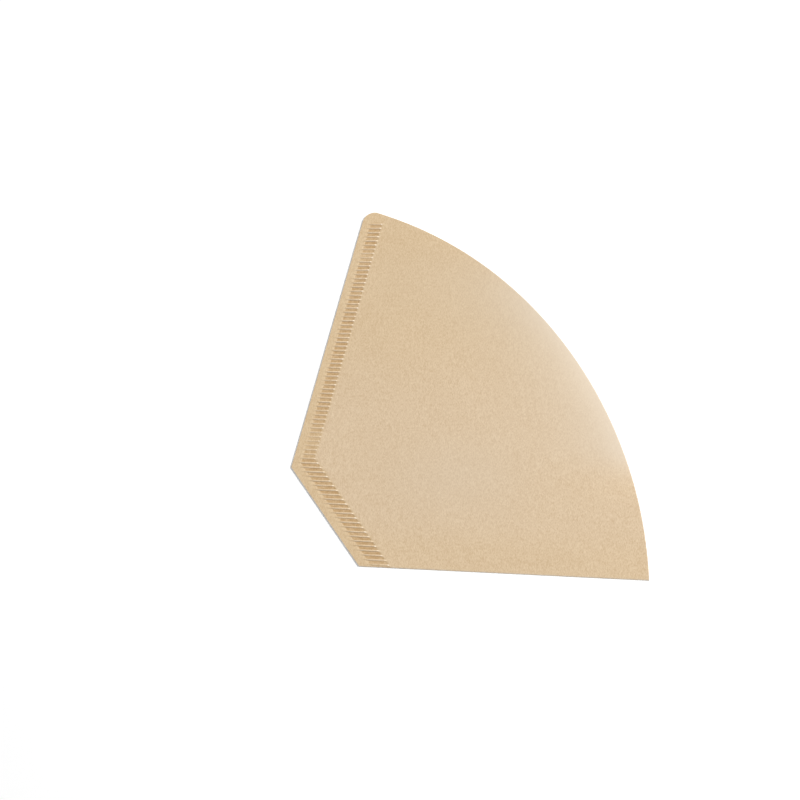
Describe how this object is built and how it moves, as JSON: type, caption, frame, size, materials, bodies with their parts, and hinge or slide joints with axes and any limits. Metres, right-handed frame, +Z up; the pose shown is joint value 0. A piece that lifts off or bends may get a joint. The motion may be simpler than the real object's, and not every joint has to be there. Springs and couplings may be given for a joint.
{
  "type": "paper coffee filter",
  "caption": "Flat-folded wedge-shaped coffee filter of unbleached paper, with a folded side, a crimped side seam, a crimped bottom seam and an open curved mouth.",
  "frame": {"origin": "on the flat underside, on the wedge's middle line, half way between the bottom seam and the top of the mouth", "axes": "+X along the bottom seam towards the fold, +Y along the middle line towards the open mouth, +Z up from the underside"},
  "size_m": [0.1893, 0.1192, 0.0026],
  "materials": {
    "paper": "matt unbleached paper"
  },
  "bodies": {
    "root": {"filter_paper": "paper"}
  },
  "joints": []
}
